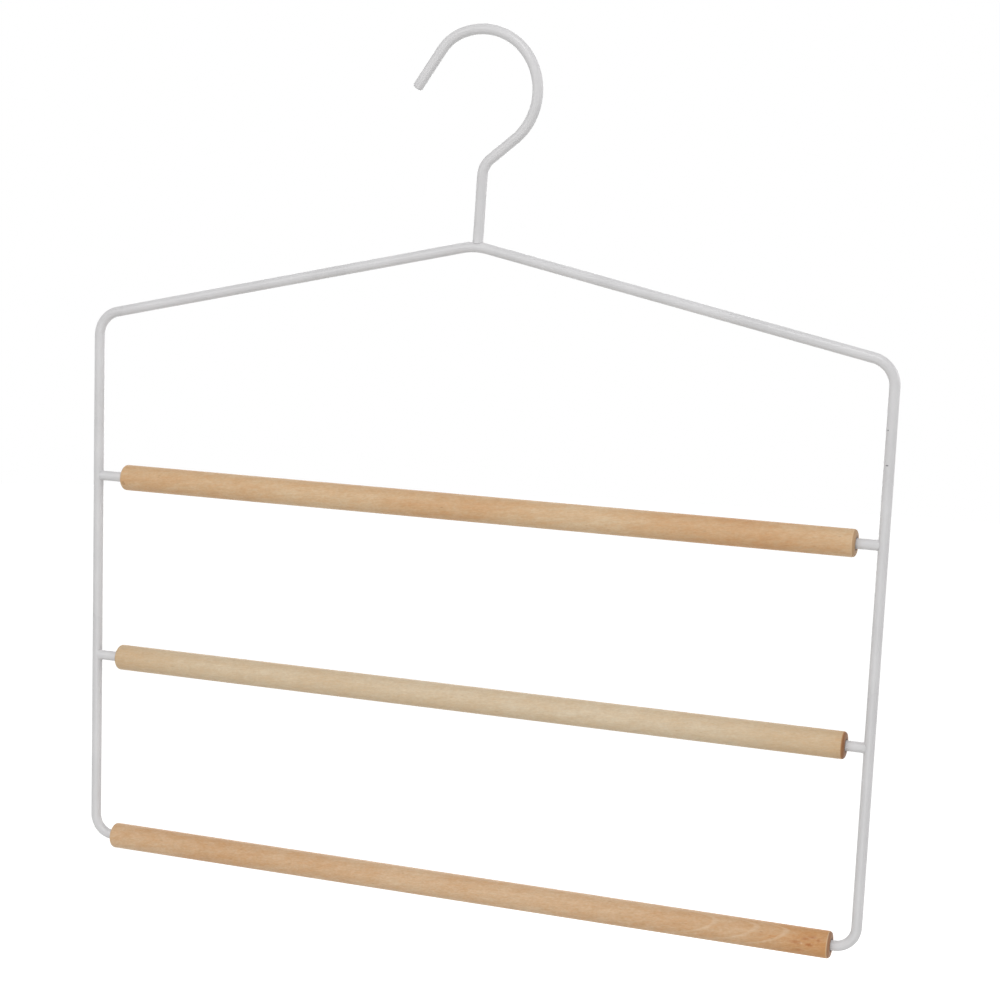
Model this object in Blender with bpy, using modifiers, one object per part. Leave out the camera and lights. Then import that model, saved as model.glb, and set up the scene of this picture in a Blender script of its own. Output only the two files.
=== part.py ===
# Tiered trouser hanger: a bent wire frame with a welded hook, and three wooden bars that turn on pegs.
# Metres, +Z up, +X to the right and +Y away from the viewer.
# The origin is where a rail bears on the inside of the hook's crown.

import math

import bmesh
import bpy
from mathutils import Vector

# Steel wire: one stock for the frame, the hook and the pegs
wire_diameter = 0.005

# Frame: spacing and bends on the wire's centre line, heights up from the lower bar's axis
frame_width = 0.395
lower_tier_spacing = 0.094
upper_tier_spacing = 0.092
shoulder_clearance = 0.080
shoulder_rise = 0.0425
bottom_bend_radius = 0.010
corner_bend_radius = 0.0125
apex_bend_radius = 0.030

# Hook: the arc is centred over the frame, its stem stands a little to the right and leans a little further,
# and the arc closes in before the tip; angles are the wire's headings, counter-clockwise from +X
hook_inner_diameter = 0.050
stem_length = 0.0365
foot_offset = 0.0012
neck_offset = 0.0024
neck_angle = math.radians(39)
neck_bend_radius = 0.010
closing_angle = math.radians(202)
closing_bend_radius = 0.021
tip_angle = math.radians(236)
tip_length = 0.0208
tip_rounding = 0.0008

# Wooden bars: each is as long as its opening less a gap at both ends, and lies where it has slid to
bar_diameter = 0.0127
bar_edge_radius = 0.0016
upper_bar_gap = 0.011
middle_bar_gap = 0.00925
lower_bar_gap = 0.001
upper_bar_slide = 0.0016
middle_bar_slide = 0.0013

# Blind bores in the bars, and the pegs in them
peg_engagement = 0.012
peg_end_chamfer = 0.0006
bore_spare_depth = 0.006
bore_clearance = 0.0003
bore_countersink = 0.0003
drill_point_angle = math.radians(59)

# Welds, and the thin gap between solids that touch
weld_bead_radius = 0.0009
touching_gap = 0.0003

# Facets
wire_sides = 12
bar_sides = 32
bar_edge_steps = 4
tip_steps = 3
bead_points = 24
bend_step = math.radians(7.5)
merge_distance = 0.00001
sharp_angle = math.radians(40)

# Heights and places that follow from the sizes above
wire_radius = wire_diameter / 2
side = frame_width / 2
middle_height = lower_tier_spacing
upper_height = middle_height + upper_tier_spacing
corner_height = upper_height + shoulder_clearance
apex_height = corner_height + shoulder_rise
shoulder_slope = math.atan2(shoulder_rise, side)
apex_centre_height = apex_height - apex_bend_radius * (1 / math.cos(shoulder_slope) - 1)
foot_height = apex_centre_height - apex_bend_radius + math.sqrt(apex_bend_radius ** 2 - foot_offset ** 2)
neck_height = apex_height + stem_length
hook_inner_radius = hook_inner_diameter / 2
arc_radius = hook_inner_radius + wire_radius
arc_height = neck_height + arc_radius / math.cos(neck_angle) - neck_offset * math.tan(neck_angle)
seat_height = arc_height + hook_inner_radius
bore_depth = peg_engagement + bore_spare_depth
bore_radius = wire_radius + bore_clearance
upper_bar_length = frame_width - wire_diameter - 2 * upper_bar_gap
middle_bar_length = frame_width - wire_diameter - 2 * middle_bar_gap
lower_bar_length = frame_width - 2 * (bottom_bend_radius + lower_bar_gap)


def clear_scene():
    for leftover in list(bpy.data.objects):
        bpy.data.objects.remove(leftover)


def add_collection(name):
    group = bpy.data.collections.new(name)
    bpy.context.scene.collection.children.link(group)
    return group


def add_material(name, colour, roughness, metallic=0.0):
    material = bpy.data.materials.new(name)
    material.use_nodes = True
    shader = material.node_tree.nodes["Principled BSDF"]
    shader.inputs["Base Color"].default_value = (*colour, 1)
    shader.inputs["Roughness"].default_value = roughness
    shader.inputs["Metallic"].default_value = metallic
    return material


def add_object(name, data, group, material=None, parent=None):
    piece = bpy.data.objects.new(name, data)
    piece.parent = parent
    group.objects.link(piece)
    if material:
        data.materials.append(material)
    return piece


# A line through the corners of the XZ plane, each corner rounded by its own radius
def bent_line(corners, radii):
    points = [Vector(corners[0])]
    for before, corner, after, radius in zip(corners, corners[1:], corners[2:], radii):
        corner = Vector(corner)
        arriving = (corner - Vector(before)).normalized()
        leaving = (Vector(after) - corner).normalized()
        turn = arriving.angle(leaving)
        start = corner - arriving * radius * math.tan(turn / 2)
        inward = (leaving - arriving * arriving.dot(leaving)).normalized()
        centre = start + inward * radius
        steps = math.ceil(turn / bend_step)
        for step in range(steps + 1):
            angle = turn * step / steps
            points.append(centre + (arriving * math.sin(angle) - inward * math.cos(angle)) * radius)
    points.append(Vector(corners[-1]))
    return points


# The frame wire's centre line, from the left turned-in end round to the right one
def frame_line():
    end = lower_bar_length / 2 - peg_engagement
    corners = [
        (-end, 0, 0),
        (-side, 0, 0),
        (-side, 0, corner_height),
        (0, 0, apex_height),
        (side, 0, corner_height),
        (side, 0, 0),
        (end, 0, 0),
    ]
    half_radii = [bottom_bend_radius, corner_bend_radius]
    return bent_line(corners, [*half_radii, apex_bend_radius, *reversed(half_radii)])


# The unit direction at an angle from +X towards +Z
def direction_at(angle):
    return Vector((math.cos(angle), 0, math.sin(angle)))


# An arc that turns counter-clockwise from one heading to another
def arc_points(centre, radius, start_heading, end_heading):
    sweep = end_heading - start_heading
    steps = math.ceil(sweep / bend_step)
    points = []
    for step in range(steps + 1):
        heading = start_heading + sweep * step / steps
        points.append(centre + direction_at(heading - math.pi / 2) * radius)
    return points


# The hook's centre line: up the stem, out along the neck, round the two arcs and straight down the tip
def hook_line():
    centre = Vector((0, 0, arc_height))
    inward = direction_at(closing_angle - math.pi / 2)
    closing_centre = centre + inward * (arc_radius - closing_bend_radius)
    crown = arc_points(centre, arc_radius, neck_angle, closing_angle)
    closing = arc_points(closing_centre, closing_bend_radius, closing_angle, tip_angle)
    corners = [(foot_offset, 0, foot_height), (neck_offset, 0, neck_height), crown[0]]
    tip = closing[-1] + direction_at(tip_angle) * tip_length
    return bent_line(corners, [neck_bend_radius]) + crown[1:] + closing[1:] + [tip]


# The closed line where two round wires of one size meet in a T, its crotches filled by the bead
def saddle_line():
    points = []
    for step in range(bead_points):
        angle = 2 * math.pi * step / bead_points
        height = math.hypot(wire_radius * math.cos(angle), weld_bead_radius)
        points.append(Vector((wire_radius * math.cos(angle), wire_radius * math.sin(angle), height)))
    return points


# A round wire along a line, with flat ends
def wire_curve(name, points, radius, closed=False):
    curve = bpy.data.curves.new(name, "CURVE")
    curve.dimensions = "3D"
    curve.bevel_depth = radius
    curve.bevel_resolution = (wire_sides - 4) // 2
    curve.use_fill_caps = not closed
    spline = curve.splines.new("POLY")
    spline.points.add(len(points) - 1)
    for point, place in zip(spline.points, points):
        point.co = (*place, 1)
    spline.use_cyclic_u = closed
    return curve


# The same wire as one closed mesh with one face on each end, for pieces that are cut or joined
def wire_mesh(name, points, radius, closed=False):
    curve = wire_curve(name, points, radius, closed)
    guide = bpy.data.objects.new(name, curve)
    bpy.context.scene.collection.objects.link(guide)
    evaluated = guide.evaluated_get(bpy.context.evaluated_depsgraph_get())
    mesh = bpy.data.meshes.new_from_object(evaluated)
    bpy.data.objects.remove(guide)
    bpy.data.curves.remove(curve)
    shape = bmesh.new()
    shape.from_mesh(mesh)
    bmesh.ops.remove_doubles(shape, verts=shape.verts, dist=merge_distance)
    cap_triangles = [face for face in shape.faces if len(face.verts) == 3]
    bmesh.ops.dissolve_faces(shape, faces=cap_triangles)
    bmesh.ops.recalc_face_normals(shape, faces=shape.faces)
    shape.to_mesh(mesh)
    shape.free()
    return mesh


# A profile of (radius, height) points, turned about the object's own Z axis
def add_turned(name, profile, sides, group, material=None, parent=None):
    mesh = bpy.data.meshes.new(name)
    vertices = [(radius, 0, height) for radius, height in profile]
    edges = [(index, index + 1) for index in range(len(profile) - 1)]
    mesh.from_pydata(vertices, edges, [])
    piece = add_object(name, mesh, group, material, parent)
    screw = piece.modifiers.new("turned", "SCREW")
    screw.axis = "Z"
    screw.steps = sides
    screw.render_steps = sides
    screw.use_merge_vertices = True
    screw.merge_threshold = merge_distance
    return piece


def add_boolean(piece, tool, operation):
    modifier = piece.modifiers.new(tool.name, "BOOLEAN")
    modifier.operation = operation
    modifier.object = tool


def as_tool(piece):
    piece.hide_render = True
    piece.display_type = "WIRE"
    return piece


# A bar's half section: drilled from both ends, with countersunk bores and rounded edges
def bar_profile(length):
    radius = bar_diameter / 2
    end = length / 2
    drill_point = bore_radius / math.tan(drill_point_angle)
    bore = [
        (0, end - bore_depth - drill_point),
        (bore_radius, end - bore_depth),
        (bore_radius, end - bore_countersink),
        (bore_radius + bore_countersink, end),
    ]
    edge = []
    for step in range(bar_edge_steps + 1):
        angle = math.pi / 2 * (1 - step / bar_edge_steps)
        edge.append((
            radius - bar_edge_radius * (1 - math.cos(angle)),
            end - bar_edge_radius * (1 - math.sin(angle)),
        ))
    upper_half = bore + edge
    lower_half = [(distance, -height) for distance, height in reversed(upper_half)]
    return upper_half + lower_half


def add_bar(name, length, height, slide, group, material, base):
    bar = add_turned(name, bar_profile(length), bar_sides, group, material, base)
    bar.location = (slide, 0, height)
    bar.rotation_euler = (0, math.pi / 2, 0)
    return bar


# A peg stands on its side wire's centre line, and the wire's own clearance shapes its root
def add_peg(name, bar_length, height, direction, group, tools, material, base):
    reach = side - (bar_length / 2 - peg_engagement)
    profile = [
        (0, reach),
        (wire_radius - peg_end_chamfer, reach),
        (wire_radius, reach - peg_end_chamfer),
        (wire_radius, 0),
        (0, 0),
    ]
    peg = add_turned(name, profile, 2 * wire_sides, group, material, base)
    peg.location = (-direction * side, 0, height)
    peg.rotation_euler = (0, direction * math.pi / 2, 0)
    bead = wire_mesh(name + "_bead", saddle_line(), weld_bead_radius, closed=True)
    add_boolean(peg, as_tool(add_object(name + "_bead", bead, tools, None, peg)), "UNION")
    add_boolean(peg, bpy.data.objects["frame_clearance"], "DIFFERENCE")
    return peg


def add_hook(group, tools, material, base):
    line = hook_line()
    mesh = wire_mesh("hook", line, wire_radius)
    shape = bmesh.new()
    shape.from_mesh(mesh)
    tip = min(shape.faces, key=lambda face: (face.calc_center_median() - line[-1]).length)
    bmesh.ops.bevel(
        shape,
        geom=list(tip.edges),
        offset=tip_rounding,
        segments=tip_steps,
        profile=0.5,
        affect="EDGES",
        clamp_overlap=True,
    )
    shape.to_mesh(mesh)
    shape.free()
    hook = add_object("hook", mesh, group, material, base)
    bead_mesh = wire_mesh("hook_bead", saddle_line(), weld_bead_radius, closed=True)
    bead = add_object("hook_bead", bead_mesh, tools, None, base)
    bead.location = (foot_offset, 0, foot_height)
    add_boolean(hook, as_tool(bead), "UNION")
    add_boolean(hook, bpy.data.objects["frame_clearance"], "DIFFERENCE")
    return hook


clear_scene()
parts = add_collection("tiered_trouser_hanger")
cutters = add_collection("cutters")

painted_steel = add_material("painted_steel", (0.60, 0.60, 0.61), 0.42)
upper_wood = add_material("upper_wood", (0.60, 0.41, 0.22), 0.45)
middle_wood = add_material("middle_wood", (0.62, 0.45, 0.27), 0.45)
lower_wood = add_material("lower_wood", (0.55, 0.32, 0.14), 0.45)

# The lower bar's axis carries every other piece
lower_axis = bpy.data.objects.new("lower_axis", None)
lower_axis.location = (0, 0, -seat_height)
parts.objects.link(lower_axis)

clearance = wire_mesh("frame_clearance", frame_line(), wire_radius + touching_gap)
as_tool(add_object("frame_clearance", clearance, cutters, None, lower_axis))

frame_curve = wire_curve("frame_wire", frame_line(), wire_radius)
add_object("frame_wire", frame_curve, parts, painted_steel, lower_axis)
add_hook(parts, cutters, painted_steel, lower_axis)

add_peg("upper_left_peg", upper_bar_length, upper_height, 1, parts, cutters, painted_steel, lower_axis)
add_peg("upper_right_peg", upper_bar_length, upper_height, -1, parts, cutters, painted_steel, lower_axis)
add_peg("middle_left_peg", middle_bar_length, middle_height, 1, parts, cutters, painted_steel, lower_axis)
add_peg("middle_right_peg", middle_bar_length, middle_height, -1, parts, cutters, painted_steel, lower_axis)

add_bar("upper_bar", upper_bar_length, upper_height, upper_bar_slide, parts, upper_wood, lower_axis)
add_bar("middle_bar", middle_bar_length, middle_height, middle_bar_slide, parts, middle_wood, lower_axis)
add_bar("lower_bar", lower_bar_length, 0, 0, parts, lower_wood, lower_axis)

for piece in parts.objects:
    if piece.type == "MESH":
        piece.data.shade_smooth()
        piece.data.set_sharp_from_angle(angle=sharp_angle)
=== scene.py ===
import math

import bmesh
import bpy
from mathutils import Matrix, Vector


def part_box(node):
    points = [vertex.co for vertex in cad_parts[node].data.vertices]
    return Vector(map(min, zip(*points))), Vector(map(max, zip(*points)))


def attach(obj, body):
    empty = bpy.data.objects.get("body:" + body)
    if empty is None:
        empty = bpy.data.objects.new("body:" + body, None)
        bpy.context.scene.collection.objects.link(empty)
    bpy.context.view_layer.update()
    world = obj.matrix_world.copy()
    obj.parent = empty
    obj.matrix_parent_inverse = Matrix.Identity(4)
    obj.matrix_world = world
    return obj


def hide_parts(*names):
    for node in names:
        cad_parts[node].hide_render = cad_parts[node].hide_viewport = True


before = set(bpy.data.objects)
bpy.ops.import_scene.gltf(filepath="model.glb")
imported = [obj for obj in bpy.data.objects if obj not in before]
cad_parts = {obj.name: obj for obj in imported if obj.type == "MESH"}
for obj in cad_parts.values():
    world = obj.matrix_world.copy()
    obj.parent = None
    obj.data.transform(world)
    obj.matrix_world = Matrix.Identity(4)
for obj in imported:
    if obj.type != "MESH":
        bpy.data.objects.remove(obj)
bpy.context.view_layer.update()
print("frame loaded")

mm = 0.001


def toLinear(hexColour):
    channels = [int(hexColour[at:at + 2], 16) / 255 for at in (1, 3, 5)]
    linear = [c / 12.92 if c <= 0.04045 else ((c + 0.055) / 1.055) ** 2.4 for c in channels]
    return (*linear, 1.0)


# Adds a node, gives it its settings, and fills its inputs: a socket is linked, anything else is a fixed
# value. An input goes by its name, or by its number where several share one name.
def addNode(tree, kind, inputs=None, stops=None, **settings):
    node = tree.nodes.new(kind)
    for name, value in settings.items():
        setattr(node, name, value)
    for name, value in (inputs or {}).items():
        if isinstance(value, bpy.types.NodeSocket):
            tree.links.new(value, node.inputs[name])
        else:
            node.inputs[name].default_value = value
    if stops:
        ramp = node.color_ramp.elements
        while len(ramp) < len(stops):
            ramp.new(0.5)
        for element, (position, tone) in zip(ramp, stops):
            element.position = position
            element.color = toLinear(tone) if isinstance(tone, str) else (tone, tone, tone, 1.0)
    return node


def newMaterial(name):
    material = bpy.data.materials.new(name)
    material.use_nodes = True
    material.node_tree.nodes.clear()
    return material, material.node_tree


# Lays coats of colour over each other: each coat is how much of it shows at a point, and its colour
def layCoats(tree, colour, coats):
    for amount, hexColour in coats:
        colour = addNode(tree, "ShaderNodeMix", {"Factor": amount, 6: colour, 7: toLinear(hexColour)},
                         data_type="RGBA").outputs[2]
    return colour


markWobble = 0.8 * mm  # size of the bumps along a mark's rim


# How much of a small mark lies at each point: 1 inside the stretched ball, 0 outside, with a ragged rim.
# Its place and half sizes are in millimetres, its rim is (how ragged, how soft).
def markAmount(tree, coords, place, halfSize, rim):
    ragged, softness = rim
    edge = 1 + ragged / 2
    centre = [value * mm for value in place]
    reach = [value * mm for value in halfSize]
    wobble = addNode(tree, "ShaderNodeTexNoise", {"Vector": coords, "Scale": 1 / markWobble, "Detail": 2.0})
    moved = addNode(tree, "ShaderNodeVectorMath", {0: coords, 1: centre}, operation="SUBTRACT")
    sized = addNode(tree, "ShaderNodeVectorMath", {0: moved.outputs[0], 1: reach}, operation="DIVIDE")
    far = addNode(tree, "ShaderNodeVectorMath", {0: sized.outputs[0]}, operation="LENGTH")
    uneven = addNode(tree, "ShaderNodeMath", {0: wobble.outputs[0], 1: ragged, 2: far.outputs["Value"]},
                     operation="MULTIPLY_ADD")
    return addNode(tree, "ShaderNodeMapRange", {
        "Value": uneven.outputs[0], "From Min": edge, "From Max": edge - softness}).outputs[0]


powderCoat = {
    "tones": [(0.35, "#D2D1D2"), (0.65, "#D9D8D9")],  # the patches, from the darkest to the lightest
    "patch": 28 * mm,
    "roughness": (0.26, 0.32),
    "roughnessFrom": (0.3, 0.7),  # the span of the patches' noise that it runs over
    "specular": 0.35,
    "peel": 1.1 * mm,  # real peel is about 0.4 mm, drawn coarser so that it shows
    "peelDepth": 0.016 * mm,
    "peelShow": 0.6,
    "primer": "#77777A",
    "chipRim": (0.5, 0.55),
    # place and half sizes, in millimetres
    "chips": [
        ((196.97, -2.41, -181.7), (0.8, 0.75, 0.38)),
        ((196.23, -2.11, -166.3), (0.5, 0.5, 0.4)),
    ],
}


# Mild steel wire, sprayed with light grey polyester powder and baked: a satin skin with faint orange peel and
# no bare metal, but for two pinhead chips that show the darker primer
def makePowderCoatedSteel():
    material, tree = newMaterial("powder_coated_steel_sprayed_and_baked")
    coords = addNode(tree, "ShaderNodeTexCoord").outputs["Object"]
    patches = addNode(tree, "ShaderNodeTexNoise", {
        "Vector": coords, "Scale": 1 / powderCoat["patch"], "Detail": 3.0}).outputs[0]
    colour = addNode(tree, "ShaderNodeValToRGB", {"Fac": patches}, stops=powderCoat["tones"]).outputs[0]
    colour = layCoats(tree, colour, [
        (markAmount(tree, coords, place, halfSize, powderCoat["chipRim"]), powderCoat["primer"])
        for place, halfSize in powderCoat["chips"]])
    peel = addNode(tree, "ShaderNodeTexNoise", {
        "Vector": coords, "Scale": 1 / powderCoat["peel"], "Detail": 1.0}).outputs[0]
    relief = addNode(tree, "ShaderNodeBump", {
        "Height": peel, "Strength": powderCoat["peelShow"], "Distance": powderCoat["peelDepth"]})
    lowest, highest = powderCoat["roughnessFrom"]
    smoothest, roughest = powderCoat["roughness"]
    gloss = addNode(tree, "ShaderNodeMapRange", {
        "Value": patches, "From Min": lowest, "From Max": highest, "To Min": smoothest, "To Max": roughest})
    shader = addNode(tree, "ShaderNodeBsdfPrincipled", {
        "Base Color": colour, "Roughness": gloss.outputs[0], "Normal": relief.outputs[0],
        "Metallic": 0.0, "IOR": 1.5, "Specular IOR Level": powderCoat["specular"]})
    addNode(tree, "ShaderNodeOutputMaterial", {"Surface": shader.outputs[0]})
    return material


beechDowel = {
    "grainLean": 8.0,  # degrees that the grain rises to the right across the front
    # width, length and noise detail of each pattern; real fibres and vessels are 0.1 mm wide, drawn coarser
    # so that they show
    "drift": (14 * mm, 70 * mm, 2.0),
    "mottle": (2.6 * mm, 9 * mm, 3.0),
    "dash": (0.55 * mm, 1.6 * mm, 2.0),
    "shimmer": (2.0 * mm, 3.0 * mm, 2.0),
    "fibre": (0.4 * mm, 7 * mm, 2.0),
    "noiseFrom": (0.32, 0.68),  # the span of the noise that each pattern runs over
    # how warm the palest and the most orange wood is, and how far between them the tan lies
    "warmthFrom": (-0.75, 1.15),
    "tanAt": 0.45,
    # darkest and lightest that the shimmer, a painted sheen, and the fibres make the wood, and how rough the
    # fibres make it
    "shimmerLight": (0.975, 1.025),
    "fibreLight": (0.965, 1.03),
    "roughness": (0.5, 0.6),
    "relief": 0.2 * mm,
    "reliefShow": 0.3,
    "specular": 0.28,
    "lacquer": 0.04,
    "lacquerRoughness": 0.35,
    "ringStretch": 0.07,  # how much of the way along the bar counts for the rings
    "ringFrom": (0.3, 1.0),  # how far through its gap a ring's colour starts, and where it is full
    # pores: one at most in each cell of this width and length, where its colour starts and where it is full,
    # the chance that a cell stays empty, and how much of the colour shows
    "poreCell": (1.5 * mm, 5.5 * mm),
    "poreFrom": (0.20, 0.07),
    "poreEmpty": 0.55,
    "poreShow": 0.4,
    "markRim": (0.9, 0.9),
    # where each end's rounded rim and its cut face begin, in from the end, over what length their colours
    # come in, and how much of them shows; the cut face's colour is end grain darkened further with painted
    # shade
    "rimFrom": 1.55 * mm,
    "faceFrom": 1.15 * mm,
    "endBlend": 0.3 * mm,
    "endShow": 0.8,
    "leftSpared": 0.9 * mm,  # the left ends are browned this much less far in
    # round the bores, drill scorch on the end grain together with painted shade of the peg and the gap round
    # it:
    # the radii where that ends and where it is darkest
    "scorchAndShade": "#573A27",
    "scorchAndShadeFrom": (4.2 * mm, 2.9 * mm),
    "scorchAndShadeShow": 0.75,
}

# Warmth is how orange the wood is from the left end to the right one, figure how far its blotches differ in
# that, and dashes how far the short dashes do. The rings lie round the pith, placed from the bar's middle.
# A mark is its place from the bar's middle and its half sizes, in millimetres, how much it shows, and which
# of the bar's colours it has.
# Each face colour is end grain darkened further with painted shade, for cut ends that face away from the
# lamps
barLooks = {
    "upper_bar": {
        "slot": "upper_wood", "pale": "#DDC6A5", "tan": "#D4B28B", "deep": "#CA9868", "pore": "#9C6B3E",
        "rim": "#D6B894", "face": "#AE8A66", "seed": (0.0, 0.0, 0.0),
        "warmth": [(0.0, 0.3), (0.12, 0.15), (0.3, 0.0), (0.44, 0.45), (0.58, 0.1), (0.65, -0.25),
                   (0.85, 0.85), (1.0, 0.2)],
        "figure": 0.55, "dashes": 0.26,
        "ringGap": 2.4 * mm, "pith": (0.0, 21 * mm, 38 * mm), "ringShow": 0.08,
        "marks": [
            # a pin knot: a dark ring with a paler heart
            ((-181.7, -5.9, -2.1), (1.3, 0.9, 1.2), 0.9, "pore"),
            ((-181.7, -5.9, -2.1), (0.55, 0.9, 0.5), 0.9, "tan"),
        ],
    },
    "middle_bar": {
        "slot": "middle_wood", "pale": "#E0D2BA", "tan": "#D5BE9E", "deep": "#CDAA81", "pore": "#A98258",
        "rim": "#A8703F", "face": "#885C3C", "seed": (0.31, 0.17, 0.05),
        "warmth": [(0.0, 0.7), (0.1, 0.25), (0.45, -0.05), (0.6, 0.0), (0.87, 0.0), (1.0, 0.75)],
        "figure": 0.38, "dashes": 0.24,
        "ringGap": 3.0 * mm, "pith": (0.0, 30 * mm, -45 * mm), "ringShow": 0.06,
        "marks": [],
    },
    "lower_bar": {
        "slot": "lower_wood", "pale": "#E1C8A8", "tan": "#D5B28D", "deep": "#C8935F", "pore": "#98663A",
        "streak": "#A8602F", "rim": "#D4B895", "face": "#8E5E3F", "seed": (0.11, 0.53, 0.29),
        "warmth": [(0.0, 0.0), (0.12, 0.4), (0.3, 0.15), (0.48, 0.0), (0.8, 0.05), (0.88, 0.4),
                   (0.94, 0.9), (1.0, 1.15)],
        "figure": 0.5, "dashes": 0.27,
        "ringGap": 1.9 * mm, "pith": (0.0, 52 * mm, 9 * mm), "ringShow": 0.1,
        # growth rings that run out of the surface near the right end as nested tongues: how far right of the
        # middle their points lie, how many degrees up from the front, how far back a line is after one radian
        # below its point, how many times faster it runs back above it, and the squares of the radians between
        # which it fades out
        "tongues": {
            "points": (132.9 * mm, 152.2 * mm, 166.2 * mm), "pointUp": 53.0, "reach": 8.5 * mm, "above": 2.5,
            "fade": (1.2, 3.5), "sway": 2.5 * mm, "swayPatch": 5 * mm, "lineWidth": 1.3 * mm, "shade": 6 * mm,
            "show": 0.36,
        },
        "marks": [
            ((175.3, -5.6, 3.0), (2.4, 1.6, 0.9), 0.6, "streak"),
            ((178.4, -4.9, 4.0), (2.6, 1.6, 0.9), 0.65, "streak"),
            ((181.5, -5.6, 3.0), (1.2, 1.2, 0.9), 0.65, "streak"),
            ((177.4, -6.3, 0.7), (2.4, 1.6, 1.0), 0.8, "streak"),
            ((171.1, -6.3, 1.1), (4.4, 1.6, 1.2), 0.5, "streak"),
            ((172.6, -5.8, -2.7), (3.4, 1.6, 1.2), 0.45, "streak"),
            ((177.2, -4.0, 4.9), (3.6, 1.8, 1.6), 0.6, "deep"),
            ((173.9, -6.3, 0.8), (0.8, 1.0, 0.6), 0.6, "pale"),
            ((-130.0, -6.0, -1.4), (0.9, 0.6, 0.4), 0.45, "pore"),
        ],
    },
}


# The grain's coordinates, squeezed so that one unit is the pattern's length along it and its width across
def alongGrain(tree, grain, width, length):
    return addNode(tree, "ShaderNodeMapping", {
        "Vector": grain, "Scale": (1 / length, 1 / width, 1 / width)}).outputs[0]


def grainNoise(tree, grain, pattern, least, most):
    width, length, detail = beechDowel[pattern]
    lowest, highest = beechDowel["noiseFrom"]
    noise = addNode(tree, "ShaderNodeTexNoise", {
        "Vector": alongGrain(tree, grain, width, length), "Scale": 1.0, "Detail": detail, "Roughness": 0.55})
    return addNode(tree, "ShaderNodeMapRange", {
        "Value": noise.outputs[0], "From Min": lowest, "From Max": highest,
        "To Min": least, "To Max": most}).outputs[0]


warmthLift = 1.0  # a ramp holds no grey below 0, so inside the nodes every warmth stands this much higher


# Pale to orange: slowly along the bar, in blotches and in short dashes
def paleToOrange(tree, grain, position, halfLength, look):
    along = addNode(tree, "ShaderNodeMapRange", {
        "Value": position[0], "From Min": -halfLength, "From Max": halfLength}).outputs[0]
    orange = addNode(tree, "ShaderNodeValToRGB", {"Fac": along}, stops=[
        (place, warmth + warmthLift) for place, warmth in look["warmth"]]).outputs[0]
    figure = look["figure"] / 2
    for pattern, swing in (("drift", figure), ("mottle", figure), ("dash", look["dashes"])):
        swung = grainNoise(tree, grain, pattern, -swing, swing)
        orange = addNode(tree, "ShaderNodeMath", {0: orange, 1: swung}, operation="ADD").outputs[0]
    coldest, warmest = beechDowel["warmthFrom"]
    shade = addNode(tree, "ShaderNodeMapRange", {
        "Value": orange, "From Min": coldest + warmthLift, "From Max": warmest + warmthLift}).outputs[0]
    return addNode(tree, "ShaderNodeValToRGB", {"Fac": shade}, stops=[
        (0.0, look["pale"]), (beechDowel["tanAt"], look["tan"]), (1.0, look["deep"])]).outputs[0]


# Growth rings round a pith that lies far outside the bar
def ringCoat(tree, grain, look):
    fromPith = addNode(tree, "ShaderNodeMapping", {
        "Vector": grain, "Scale": (beechDowel["ringStretch"], 1.0, 1.0), "Location": look["pith"]}).outputs[0]
    oneEachMetre = math.tau / 20  # the scale at which the wave draws one ring in each metre
    rings = addNode(tree, "ShaderNodeTexWave", {
        "Vector": fromPith, "Scale": oneEachMetre / look["ringGap"], "Distortion": 3.0, "Detail": 2.0,
        "Detail Scale": 0.6, "Detail Roughness": 0.5},
        wave_type="RINGS", rings_direction="X", wave_profile="SAW")
    starts, full = beechDowel["ringFrom"]
    amount = addNode(tree, "ShaderNodeMapRange", {
        "Value": rings.outputs["Fac"], "From Min": starts, "From Max": full,
        "To Max": look["ringShow"]}).outputs[0]
    return amount, look["deep"]


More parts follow.
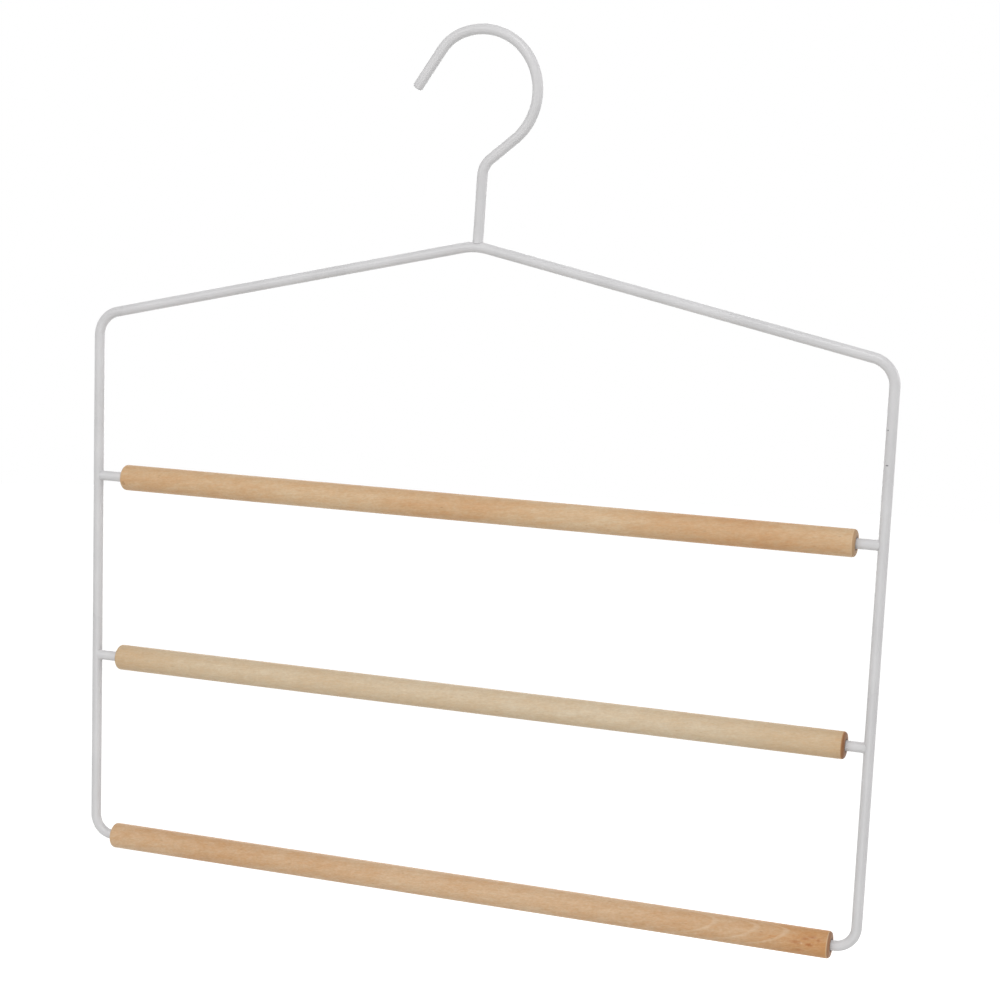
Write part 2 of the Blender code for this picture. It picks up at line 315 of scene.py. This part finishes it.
# Nested tongues: soft pale lines that curve over the bar's front and point along it, with darker wood inside
def tongueCoats(tree, centred, position, look):
    tongues = look["tongues"]
    lineWidth, shade = tongues["lineWidth"], tongues["shade"]
    forward = addNode(tree, "ShaderNodeMath", {0: position[1], 1: -1.0}, operation="MULTIPLY").outputs[0]
    angle = addNode(tree, "ShaderNodeMath", {0: position[2], 1: forward}, operation="ARCTAN2").outputs[0]
    aside = addNode(tree, "ShaderNodeMath", {0: angle, 1: math.radians(tongues["pointUp"])},
                    operation="SUBTRACT").outputs[0]
    above = addNode(tree, "ShaderNodeMath", {0: aside, 1: 0.0}, operation="MAXIMUM").outputs[0]
    spread = addNode(tree, "ShaderNodeMath", {0: above, 1: tongues["above"] - 1, 2: aside},
                     operation="MULTIPLY_ADD").outputs[0]
    square = addNode(tree, "ShaderNodeMath", {0: spread, 1: spread}, operation="MULTIPLY").outputs[0]
    bent = addNode(tree, "ShaderNodeMath", {0: square, 1: tongues["reach"], 2: position[0]},
                   operation="MULTIPLY_ADD").outputs[0]
    fades, gone = tongues["fade"]
    show = addNode(tree, "ShaderNodeMapRange", {
        "Value": square, "From Min": fades, "From Max": gone,
        "To Min": tongues["show"], "To Max": 0.0}).outputs[0]
    noise = addNode(tree, "ShaderNodeTexNoise", {
        "Vector": centred, "Scale": 1 / tongues["swayPatch"], "Detail": 3.0}).outputs[0]
    sway = addNode(tree, "ShaderNodeMapRange", {
        "Value": noise, "To Min": -tongues["sway"] / 2, "To Max": tongues["sway"] / 2}).outputs[0]
    swayed = addNode(tree, "ShaderNodeMath", {0: bent, 1: sway}, operation="ADD").outputs[0]
    first = tongues["points"][0] - 2 * shade
    last = tongues["points"][-1] + shade
    along = addNode(tree, "ShaderNodeMapRange", {
        "Value": swayed, "From Min": first, "From Max": last}).outputs[0]
    darkest, shadeTone, plainTone, lineTone = 0.0, 0.3, 0.5, 1.0
    # from left to right at each tongue: plain wood, the shade inside it, its pale line, and plain wood again
    stops = []
    for point in tongues["points"]:
        for back, tone in ((shade, plainTone), (1.5 * lineWidth, shadeTone), (0.5 * lineWidth, lineTone),
                           (-0.5 * lineWidth, lineTone), (-1.5 * lineWidth, plainTone)):
            stops.append(((point - back - first) / (last - first), tone))
    tone = addNode(tree, "ShaderNodeValToRGB", {"Fac": along}, stops=stops).outputs[0]
    coats = []
    for end, name in ((lineTone, "pale"), (darkest, "deep")):
        amount = addNode(tree, "ShaderNodeMapRange", {
            "Value": tone, "From Min": plainTone, "From Max": end, "To Max": show}).outputs[0]
        coats.append((amount, look[name]))
    return coats


# Pores: short dashes, of which some cells hold none
def poreCoat(tree, grain, look):
    pores = addNode(tree, "ShaderNodeTexVoronoi", {
        "Vector": alongGrain(tree, grain, *beechDowel["poreCell"]), "Scale": 1.0, "Randomness": 1.0})
    starts, full = beechDowel["poreFrom"]
    core = addNode(tree, "ShaderNodeMapRange", {
        "Value": pores.outputs["Distance"], "From Min": starts, "From Max": full}).outputs[0]
    chance = addNode(tree, "ShaderNodeSeparateXYZ", {"Vector": pores.outputs["Color"]}).outputs[0]
    depth = addNode(tree, "ShaderNodeMapRange", {
        "Value": chance, "From Min": beechDowel["poreEmpty"], "To Max": beechDowel["poreShow"]}).outputs[0]
    amount = addNode(tree, "ShaderNodeMath", {0: core, 1: depth}, operation="MULTIPLY").outputs[0]
    return amount, look["pore"]


def markCoats(tree, centred, look):
    coats = []
    for offset, halfSize, strength, tone in look["marks"]:
        amount = markAmount(tree, centred, offset, halfSize, beechDowel["markRim"])
        weight = addNode(tree, "ShaderNodeMath", {0: amount, 1: strength}, operation="MULTIPLY").outputs[0]
        coats.append((weight, look[tone]))
    return coats


# The rounded rim and the cut face of each end, the face's end grain darkened further with painted shade,
# and the ring round the bore: drill scorch together with painted shade of the peg and the gap round it
def endCoats(tree, centred, position, halfLength, look):
    leftward = addNode(tree, "ShaderNodeMath", {0: position[0], 1: -1.0, 2: -beechDowel["leftSpared"]},
                       operation="MULTIPLY_ADD").outputs[0]
    outward = addNode(tree, "ShaderNodeMath", {0: position[0], 1: leftward}, operation="MAXIMUM").outputs[0]
    coats = []
    for part in ("rim", "face"):
        start = halfLength - beechDowel[part + "From"]
        amount = addNode(tree, "ShaderNodeMapRange", {
            "Value": outward, "From Min": start, "From Max": start + beechDowel["endBlend"],
            "To Max": beechDowel["endShow"]}).outputs[0]
        coats.append((amount, look[part]))
    across = addNode(tree, "ShaderNodeMapping", {"Vector": centred, "Scale": (0.0, 1.0, 1.0)}).outputs[0]
    fromAxis = addNode(tree, "ShaderNodeVectorMath", {0: across}, operation="LENGTH").outputs["Value"]
    # the ring round the bore: drill scorch together with painted shade of the peg and the gap round it
    starts, full = beechDowel["scorchAndShadeFrom"]
    scorchAndShade = addNode(tree, "ShaderNodeMapRange", {
        "Value": fromAxis, "From Min": starts, "From Max": full,
        "To Max": beechDowel["scorchAndShadeShow"]}).outputs[0]
    return coats + [(scorchAndShade, beechDowel["scorchAndShade"])]


# Beech dowel, turned, sanded and wiped with clear satin lacquer: pale tan with soft orange blotches, short
# darker dashes that lean with the grain, rings that hardly show, and ends that the cutter left browner, their
# cut faces and the rings round the bores darkened further with painted shade
def makeBeech(barName, look):
    low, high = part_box(barName)
    middle = (low + high) / 2
    halfLength = (high.x - low.x) / 2
    material, tree = newMaterial("beech_turned_sanded_and_lacquered_" + barName)
    coords = addNode(tree, "ShaderNodeTexCoord").outputs["Object"]
    centred = addNode(tree, "ShaderNodeMapping", {"Vector": coords, "Location": -middle}).outputs[0]
    grain = addNode(tree, "ShaderNodeMapping", {
        "Vector": centred, "Location": look["seed"],
        "Rotation": (0.0, math.radians(beechDowel["grainLean"]), 0.0)}).outputs[0]
    position = addNode(tree, "ShaderNodeSeparateXYZ", {"Vector": centred}).outputs

    coats = [ringCoat(tree, grain, look)]
    if "tongues" in look:
        coats += tongueCoats(tree, centred, position, look)
    coats.append(poreCoat(tree, grain, look))
    coats += markCoats(tree, centred, look)
    colour = layCoats(tree, paleToOrange(tree, grain, position, halfLength, look), coats)

    # light and dark of the fibres, and the short cross-wise shimmer drawn as painted sheen
    darkest, lightest = beechDowel["fibreLight"]
    fibre = grainNoise(tree, grain, "fibre", darkest, lightest)
    shimmer = grainNoise(tree, grain, "shimmer", *beechDowel["shimmerLight"])
    light = addNode(tree, "ShaderNodeMath", {0: fibre, 1: shimmer}, operation="MULTIPLY").outputs[0]
    colour = addNode(tree, "ShaderNodeVectorMath", {0: colour, "Scale": light}, operation="SCALE").outputs[0]
    colour = layCoats(tree, colour, endCoats(tree, centred, position, halfLength, look))

    smoothest, roughest = beechDowel["roughness"]
    gloss = addNode(tree, "ShaderNodeMapRange", {
        "Value": fibre, "From Min": darkest, "From Max": lightest, "To Min": smoothest, "To Max": roughest})
    relief = addNode(tree, "ShaderNodeBump", {
        "Height": fibre, "Strength": beechDowel["reliefShow"], "Distance": beechDowel["relief"]})
    shader = addNode(tree, "ShaderNodeBsdfPrincipled", {
        "Base Color": colour, "Roughness": gloss.outputs[0], "Normal": relief.outputs[0], "IOR": 1.5,
        "Specular IOR Level": beechDowel["specular"], "Coat Weight": beechDowel["lacquer"],
        "Coat Roughness": beechDowel["lacquerRoughness"]})
    addNode(tree, "ShaderNodeOutputMaterial", {"Surface": shader.outputs[0]})
    return material


meshFinish = {"mergeWithin": 0.002 * mm, "sharpFrom": 38.0}  # edges of more degrees than this stay sharp


def finishMesh(name, bm, material):
    bmesh.ops.remove_doubles(bm, verts=bm.verts, dist=meshFinish["mergeWithin"])
    bmesh.ops.recalc_face_normals(bm, faces=bm.faces)
    for face in bm.faces:
        face.smooth = True
    mesh = bpy.data.meshes.new(name)
    bm.to_mesh(mesh)
    bm.free()
    mesh.set_sharp_from_angle(angle=math.radians(meshFinish["sharpFrom"]))
    mesh.materials.append(material)
    piece = bpy.data.objects.new(name, mesh)
    bpy.context.scene.collection.objects.link(piece)
    return piece


wireBlank = {
    "packedRadius": 2.5 * mm,
    "radius": 2.465 * mm,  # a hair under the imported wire, so that it stays in its box
    "sides": 32,
    "bendStep": 3.0,  # degrees at most in each step of a bend
    "tipSegments": 5,
}


# The parts of one kind, such as vertices, of what an operator made
def pick(geom, kind):
    return [part for part in geom if isinstance(part, kind)]


# The end of a wire that is still growing: its loop of edges, in the same order on each run
def startRing(bm, place, heading, radius):
    facing = Vector((0, 0, 1)).rotation_difference(heading).to_matrix().to_4x4()
    ring = bmesh.ops.create_circle(bm, segments=wireBlank["sides"], radius=radius,
                                   matrix=Matrix.Translation(place) @ facing)["verts"]
    return list(dict.fromkeys(edge for vert in ring for edge in vert.link_edges))


def ringVerts(ring):
    return list(dict.fromkeys(vert for edge in ring for vert in edge.verts))


def runOut(bm, ring, offset):
    made = bmesh.ops.extrude_edge_only(bm, edges=ring)["geom"]
    verts = pick(made, bmesh.types.BMVert)
    bmesh.ops.translate(bm, verts=verts, vec=offset)
    fresh = set(verts)
    return [edge for edge in pick(made, bmesh.types.BMEdge) if set(edge.verts) <= fresh]


# Bends a growing wire in its own XZ plane: its heading turns by degrees, counter-clockwise as seen from the
# front
def bendOn(bm, ring, place, heading, degrees, bendRadius):
    turn = math.copysign(1.0, degrees)
    leftward = Vector((-heading.z, 0, heading.x))
    centre = place + leftward * turn * bendRadius
    steps = max(2, math.ceil(abs(degrees) / wireBlank["bendStep"]))
    swung = Matrix.Rotation(math.radians(-degrees), 4, "Y")
    made = bmesh.ops.spin(bm, geom=ring, cent=centre, axis=(0, -1, 0), angle=math.radians(degrees),
                          steps=steps, use_merge=False, use_duplicate=False)["geom_last"]
    return pick(made, bmesh.types.BMEdge), centre + swung @ (place - centre), (swung @ heading).normalized()


# Runs out and bends a wire from moves, and gives the place where it ends: a number is a straight run, a pair
# is (degrees, bend radius)
def bendWire(bm, ring, place, heading, moves):
    for move in moves:
        if isinstance(move, tuple):
            ring, place, heading = bendOn(bm, ring, place, heading, *move)
        else:
            ring = runOut(bm, ring, heading * move)
            place = place + heading * move
    return place


def capEnds(bm):
    openEdges = [edge for edge in bm.edges if edge.is_boundary]
    return bmesh.ops.holes_fill(bm, edges=openEdges, sides=0)["faces"]


def roundTip(bm, cap, amount):
    bmesh.ops.bevel(bm, geom=list(cap.edges), offset=amount, segments=wireBlank["tipSegments"], profile=0.5,
                    affect="EDGES", material=-1, clamp_overlap=True)


# Where a wire is welded across another: its flat cut end, and a bead round it. A weld is the size of its
# bead, how far it wraps onto the crossed wire, and the seed of its unevenness.
weldFoot = {
    # height above the crossed wire's top, and swelling, of each ring for a full bead, in millimetres
    "rings": [(-1.0, -0.9), (-0.5, -0.35), (-0.12, 0.3), (0.15, 0.42), (0.45, 0.24), (0.8, 0.07), (1.2, 0.0)],
    "unevenness": 0.35,
    "waves": ((3, 1.0), (5, 2.3)),  # swells in each turn round the bead, and times that the seed counts
    "smoothing": 0.3,
    "clear": 5.2 * mm,  # from the crossed wire's axis to where the shaft is a plain round wire
}


# A welded wire's foot: it points up +Z, and the wire that it crosses lies along X through the origin
def startWelded(bm, bead, drape, seed):
    radius = wireBlank["radius"]
    ring = None
    loops = []
    for rise, swell in weldFoot["rings"]:
        width = radius + swell * mm * (bead if swell > 0 else 1)
        if ring is None:
            ring = startRing(bm, Vector((0, 0, rise * mm)), Vector((0, 0, 1)), width)
        else:
            ring = runOut(bm, ring, Vector((0, 0, (rise - lastRise) * mm)))
            bmesh.ops.scale(bm, vec=(width / lastWidth, width / lastWidth, 1), verts=ringVerts(ring))
        lastRise, lastWidth = rise, width
        loops.append(ring)
    for loop in loops:
        for vert in ringVerts(loop):
            angle = math.atan2(vert.co.y, vert.co.x)
            swollen = math.hypot(vert.co.x, vert.co.y) - radius
            if swollen > 0:
                waves = [math.sin(swells * angle + times * seed) for swells, times in weldFoot["waves"]]
                rough = 1 + weldFoot["unevenness"] * sum(waves) / len(waves)
                shrink = (radius + swollen * rough) / (radius + swollen)
                vert.co.x *= shrink
                vert.co.y *= shrink
            sag = radius - math.sqrt(max(radius ** 2 - vert.co.y ** 2, 0.0))
            vert.co.z += radius - drape * sag
    footVerts = [vert for loop in loops[1:-1] for vert in ringVerts(loop)]
    bmesh.ops.smooth_vert(bm, verts=footVerts, factor=weldFoot["smoothing"],
                          use_axis_x=True, use_axis_y=True, use_axis_z=True)
    shaft = runOut(bm, ring, Vector((0, 0, weldFoot["clear"])))
    for vert in ringVerts(shaft):
        vert.co.z = weldFoot["clear"]
    return shaft


def axisHeight(barName):
    low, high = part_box(barName)
    return (low.z + high.z) / 2


powderCoatedSteel = makePowderCoatedSteel()
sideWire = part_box("frame_wire")[1].x - wireBlank["packedRadius"]
print("steel made")

frameBends = {
    "endReach": 174.5 * mm,  # the turned-in ends stop this far from the middle, inside the lower bar's bores
    "endRounding": 0.5 * mm,
    "bottomRadius": 10 * mm,
    "cornerHeight": 266 * mm,  # from the lower bar's axis up to where a side and its shoulder would meet
    "cornerRadius": 12.5 * mm,
    "apexRise": 42.5 * mm,  # from there up to where the two shoulders would meet
    "apexRadius": 30 * mm,
}


def bendFrame():
    slope = math.atan2(frameBends["apexRise"], sideWire)
    cornerTurn = math.pi / 2 - slope
    cornerTangent = frameBends["cornerRadius"] * math.tan(cornerTurn / 2)
    apexTangent = frameBends["apexRadius"] * math.tan(slope)
    turnedIn = sideWire - frameBends["bottomRadius"] - frameBends["endReach"]
    sideRun = frameBends["cornerHeight"] - frameBends["bottomRadius"] - cornerTangent
    shoulderRun = math.hypot(sideWire, frameBends["apexRise"]) - cornerTangent - apexTangent
    halfWay = [
        turnedIn, (-90.0, frameBends["bottomRadius"]), sideRun,
        (-math.degrees(cornerTurn), frameBends["cornerRadius"]), shoulderRun,
    ]
    moves = halfWay + [(-2 * math.degrees(slope), frameBends["apexRadius"])] + halfWay[::-1]
    bm = bmesh.new()
    start = Vector((-frameBends["endReach"], 0, axisHeight("lower_bar")))
    ring = startRing(bm, start, Vector((-1, 0, 0)), wireBlank["radius"])
    bendWire(bm, ring, start, Vector((-1, 0, 0)), moves)
    for cap in capEnds(bm):
        roundTip(bm, cap, frameBends["endRounding"])
    piece = finishMesh("frame_wire_painted", bm, powderCoatedSteel)
    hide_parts("frame_wire")
    return piece


hookBends = {
    "footAside": 1.2 * mm,  # the stem stands right of the middle and leans on to the right
    "neckAside": 2.4 * mm,
    "stem": 36.5 * mm,  # from the shoulders' meeting point up to the neck's corner
    "neckRadius": 10 * mm,
    "arcRadius": 27.5 * mm,
    "closingRadius": 21 * mm,
    # headings in degrees, counter-clockwise from level to the right: out of the neck, where the arc closes
    # in, and along the tip
    "neckSlope": 39.0,
    "closesAt": 202.0,
    "tipHeading": 236.0,
    "tip": 20.8 * mm,
    "tipRounding": 0.95 * mm,
    "weld": (0.25, 0.25, 0.7),
}


def bendHook():
    slope = math.atan2(frameBends["apexRise"], sideWire)
    meeting = axisHeight("lower_bar") + frameBends["cornerHeight"] + frameBends["apexRise"]
    apexCentre = meeting - frameBends["apexRadius"] / math.cos(slope)
    footAside = hookBends["footAside"]
    foot = Vector((footAside, 0, apexCentre + math.sqrt(frameBends["apexRadius"] ** 2 - footAside ** 2)))
    rise = Vector((hookBends["neckAside"], 0, meeting + hookBends["stem"])) - foot
    lean = math.degrees(math.atan2(rise.x, rise.z))
    neckTurn = 90 - lean - hookBends["neckSlope"]
    neckTangent = hookBends["neckRadius"] * math.tan(math.radians(neckTurn / 2))
    neckSlope = math.radians(hookBends["neckSlope"])
    neckRun = hookBends["arcRadius"] * math.tan(neckSlope) - hookBends["neckAside"] / math.cos(neckSlope)
    bm = bmesh.new()
    shaft = startWelded(bm, *hookBends["weld"])
    bmesh.ops.rotate(bm, verts=bm.verts, cent=(0, 0, 0), matrix=Matrix.Rotation(math.radians(lean), 3, "Y"))
    bmesh.ops.translate(bm, verts=bm.verts, vec=foot)
    heading = rise.normalized()
    end = bendWire(bm, shaft, foot + heading * weldFoot["clear"], heading, [
        rise.length - neckTangent - weldFoot["clear"],
        (-neckTurn, hookBends["neckRadius"]),
        neckRun - neckTangent,
        (hookBends["closesAt"] - hookBends["neckSlope"], hookBends["arcRadius"]),
        (hookBends["tipHeading"] - hookBends["closesAt"], hookBends["closingRadius"]),
        hookBends["tip"],
    ])
    tipCap = min(capEnds(bm), key=lambda cap: (cap.calc_center_median() - end).length)
    roundTip(bm, tipCap, hookBends["tipRounding"])
    piece = finishMesh("hook_painted", bm, powderCoatedSteel)
    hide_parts("hook")
    return piece


pegForm = {
    "chamfer": 0.6 * mm,
    "chamferSegments": 2,
    "welds": {
        "upper_left": (0.2, 0.35, 0.0),
        "upper_right": (0.25, 0.4, 1.9),
        "middle_left": (0.75, 0.8, 3.8),
        "middle_right": (0.6, 0.6, 5.7),
    },
}


def weldPeg(place):
    node = place + "_peg"
    low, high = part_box(node)
    towards = 1 if low.x < 0 else -1
    tip = max(low.x * towards, high.x * towards)
    height = axisHeight(place.split("_")[0] + "_bar")
    bm = bmesh.new()
    shaft = startWelded(bm, *pegForm["welds"][place])
    runOut(bm, shaft, Vector((0, 0, sideWire + tip - weldFoot["clear"])))
    tipCap = max(capEnds(bm), key=lambda cap: cap.calc_center_median().z)
    bmesh.ops.bevel(bm, geom=list(tipCap.edges), offset=pegForm["chamfer"],
                    segments=pegForm["chamferSegments"], profile=0.5, affect="EDGES", material=-1)
    # laid over towards the middle, with the crossed wire upright
    laid = Matrix(((0, 0, towards), (0, 1, 0), (-towards, 0, 0)))
    bmesh.ops.rotate(bm, verts=bm.verts, cent=(0, 0, 0), matrix=laid)
    bmesh.ops.translate(bm, verts=bm.verts, vec=(-towards * sideWire, 0, height))
    piece = finishMesh(node + "_painted", bm, powderCoatedSteel)
    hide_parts(node)
    return piece


for made in (bendFrame(), bendHook()):
    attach(made, "frame")
for place in pegForm["welds"]:
    made = weldPeg(place)
    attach(made, "frame")
print("wire bent and welded")

barTurning = {
    "skin": 0.002 * mm,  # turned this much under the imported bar, so that it stays in its box
    "sides": 96,
    "edgeRadius": 1.6 * mm,
    "edgeSegments": 6,
    "boreRadius": 2.8 * mm,
    "boreDepth": 18 * mm,
    "countersink": 0.3 * mm,
    "drillPoint": 0.6,  # its depth, in radii of the bore
}


# The faces that close the two ends; every other face of a turned bar has four corners or fewer
def endFaces(bm):
    return [face for face in bm.faces if len(face.verts) > 4]


def turnBar(barName):
    low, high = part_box(barName)
    radius = (high.z - low.z) / 2 - barTurning["skin"]
    boreRadius, countersink = barTurning["boreRadius"], barTurning["countersink"]
    bm = bmesh.new()
    onEnd = Matrix.Translation((low.x, 0, axisHeight(barName))) @ Matrix.Rotation(math.pi / 2, 4, "Y")
    bmesh.ops.create_circle(bm, cap_ends=True, segments=barTurning["sides"], radius=radius, matrix=onEnd)
    drawn = bmesh.ops.extrude_face_region(bm, geom=bm.faces[:])["geom"]
    bmesh.ops.translate(bm, verts=pick(drawn, bmesh.types.BMVert), vec=(high.x - low.x, 0, 0))
    bmesh.ops.recalc_face_normals(bm, faces=bm.faces)
    rims = [edge for end in endFaces(bm) for edge in end.edges]
    bmesh.ops.bevel(bm, geom=rims, offset=barTurning["edgeRadius"], segments=barTurning["edgeSegments"],
                    profile=0.5, affect="EDGES", material=-1)
    # bores: the flat ends step in to the countersink, then the hole sinks to the drill's point
    flatRadius = radius - barTurning["edgeRadius"]
    for inward in (1, -1):
        end = min(endFaces(bm), key=lambda face: face.calc_center_median().x * inward)
        for width, depth in ((flatRadius - boreRadius - countersink, 0.0), (countersink, -countersink)):
            bmesh.ops.inset_region(bm, faces=[end], thickness=width, depth=depth, use_even_offset=True)
        sunk = bmesh.ops.extrude_face_region(bm, geom=[end])["geom"]
        bmesh.ops.translate(bm, verts=pick(sunk, bmesh.types.BMVert),
                            vec=(inward * (barTurning["boreDepth"] - countersink), 0, 0))
        floor = pick(sunk, bmesh.types.BMFace)
        bmesh.ops.poke(bm, faces=floor, offset=-boreRadius * barTurning["drillPoint"])
        if end.is_valid:
            bmesh.ops.delete(bm, geom=[end], context="FACES_ONLY")
    piece = finishMesh(barName + "_beech", bm, makeBeech(barName, barLooks[barName]))
    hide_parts(barName)
    return piece


for barName, roller in (
    ("upper_bar", "upper_roller"),
    ("middle_bar", "middle_roller"),
    ("lower_bar", "lower_roller"),
):
    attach(turnBar(barName), roller)
print("bars turned")

studio = {
    "floorHeight": -1.15,
    "floorRadius": 7.0,
    "floorSides": 64,
    "floor": "#DCDCDA",
    "floorLift": 0.84,  # glow that only seenRays show, so that the floor looks white and lights nothing
    "around": 0.3,  # light from all sides
    "lamps": [
        # name, place, size, watts
        ("key_softbox", (-0.8, -1.5, 0.45), 1.0, 7.1),
        ("front_softbox", (0.35, -1.5, 1.3), 0.6, 13.2),
        ("side_softbox", (3.6, 0.3, 0.4), 2.0, 27.0),
        ("top_softbox", (0.4, -0.2, 1.6), 1.2, 4.0),
        ("back_softbox", (-0.7, 1.9, 1.2), 1.2, 4.6),
        ("right_back_softbox", (1.8, 1.4, 0.3), 1.2, 8.9),
        ("rear_softbox", (-0.75, 2.05, -0.1), 1.2, 10.0),
        ("floor_bounce", (0.3, -1.7, -0.95), 1.0, 8.7),
    ],
    "lampsAim": (0.0, 0.0, -0.2),
    "unmirrored": ("side_softbox",),  # seen along the shoulders, its reflection would burn them out
}


# A white that only the eye, gloss and glass see: 1 on those rays, 0 on the rest
def seenRays(tree):
    seen = addNode(tree, "ShaderNodeLightPath").outputs
    either = addNode(tree, "ShaderNodeMath", {0: seen["Is Camera Ray"], 1: seen["Is Glossy Ray"]},
                     operation="MAXIMUM").outputs[0]
    return addNode(tree, "ShaderNodeMath", {0: either, 1: seen["Is Transmission Ray"]},
                   operation="MAXIMUM").outputs[0]


def layFloor():
    bm = bmesh.new()
    bmesh.ops.create_circle(bm, cap_ends=True, segments=studio["floorSides"], radius=studio["floorRadius"],
                            matrix=Matrix.Translation((0, 0, studio["floorHeight"])))
    material, tree = newMaterial("matt_white_painted_floor")
    paint = addNode(tree, "ShaderNodeBsdfDiffuse", {"Color": toLinear(studio["floor"])}).outputs[0]
    lift = addNode(tree, "ShaderNodeEmission", {"Strength": studio["floorLift"]}).outputs[0]
    lifted = addNode(tree, "ShaderNodeAddShader", {0: paint, 1: lift}).outputs[0]
    both = addNode(tree, "ShaderNodeMixShader", {0: seenRays(tree), 1: paint, 2: lifted}).outputs[0]
    addNode(tree, "ShaderNodeOutputMaterial", {"Surface": both})
    finishMesh("floor", bm, material)


def lightRoom():
    world = bpy.data.worlds.new("studio")
    world.use_nodes = True
    tree = world.node_tree
    tree.nodes.clear()
    white = (1.0, 1.0, 1.0, 1.0)
    light = addNode(tree, "ShaderNodeBackground", {"Color": white, "Strength": studio["around"]}).outputs[0]
    backdrop = addNode(tree, "ShaderNodeBackground", {"Color": white, "Strength": 1.0}).outputs[0]
    both = addNode(tree, "ShaderNodeMixShader", {0: seenRays(tree), 1: light, 2: backdrop}).outputs[0]
    addNode(tree, "ShaderNodeOutputWorld", {"Surface": both})
    bpy.context.scene.world = world
    for name, place, size, watts in studio["lamps"]:
        lamp = bpy.data.lights.new(name, "AREA")
        lamp.shape = "SQUARE"
        lamp.size = size
        lamp.energy = watts
        aim = Vector(studio["lampsAim"]) - Vector(place)
        holder = bpy.data.objects.new(name, lamp)
        holder.location = place
        holder.rotation_euler = aim.to_track_quat("-Z", "Y").to_euler()
        holder.visible_glossy = name not in studio["unmirrored"]
        bpy.context.scene.collection.objects.link(holder)


photoView = {
    "place": (0.35082, -0.92895, -0.07745),
    "azimuth": 19.684,
    "elevation": 9.658,
    "roll": 2.283,
    "lens": 76.49,
    "sensor": 36.0,
    "rise": 0.07,  # how far the picture is shifted up, in picture widths
    "sees": (0.05, 50.0),  # nearest and farthest
}


def setCamera():
    lens = bpy.data.cameras.new("photo_camera")
    lens.sensor_width = photoView["sensor"]
    lens.lens = photoView["lens"]
    lens.shift_y = photoView["rise"]
    lens.clip_start, lens.clip_end = photoView["sees"]
    camera = bpy.data.objects.new("photo_camera", lens)
    turned = (Matrix.Rotation(math.radians(photoView["azimuth"]), 4, "Z")
              @ Matrix.Rotation(math.radians(90 - photoView["elevation"]), 4, "X")
              @ Matrix.Rotation(math.radians(photoView["roll"]), 4, "Z"))
    camera.matrix_world = Matrix.Translation(photoView["place"]) @ turned
    bpy.context.scene.collection.objects.link(camera)
    bpy.context.scene.camera = camera


layFloor()
lightRoom()
setCamera()
bpy.context.scene.view_settings.view_transform = "Standard"
print("room, lamps and camera set")
